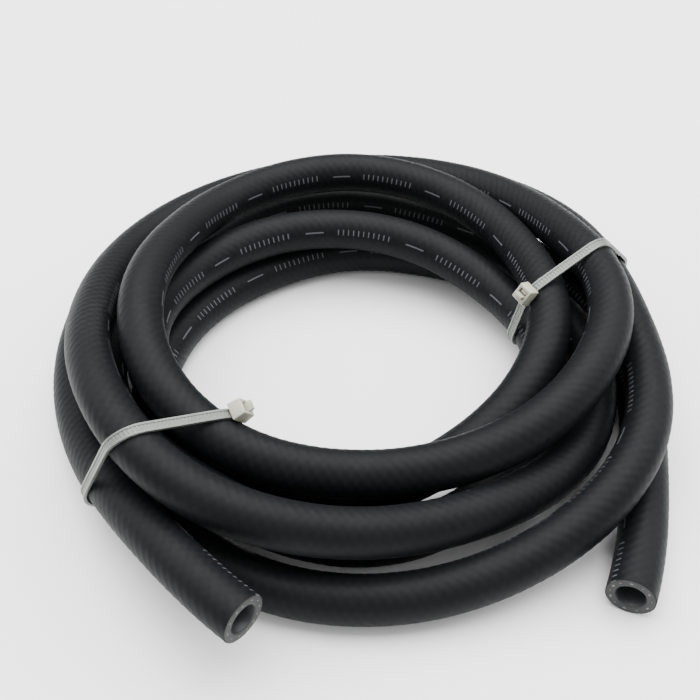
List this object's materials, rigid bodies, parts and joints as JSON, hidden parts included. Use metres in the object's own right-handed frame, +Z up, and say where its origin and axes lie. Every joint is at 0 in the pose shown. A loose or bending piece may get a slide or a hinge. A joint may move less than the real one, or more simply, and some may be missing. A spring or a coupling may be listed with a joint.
{
  "type": "fuel hose coil",
  "caption": "Coil of black textile-covered rubber fuel hose, open at both cut ends, held together by natural nylon cable ties.",
  "frame": {"origin": "on the floor, under the middle of the coil's box, its two run-out ends included", "axes": "+Z up, square to the coil's plane; -Y is the front, where both cut ends run out; +X is to the right seen from the front"},
  "size_m": [0.2396, 0.2812, 0.0569],
  "materials": {
    "hose_rubber": "matt black, textile-covered",
    "nylon_tie": "natural translucent nylon"
  },
  "bodies": {
    "root": {"hose": "hose_rubber", "cable_tie_left": "nylon_tie", "cable_tie_right": "nylon_tie"}
  },
  "joints": []
}
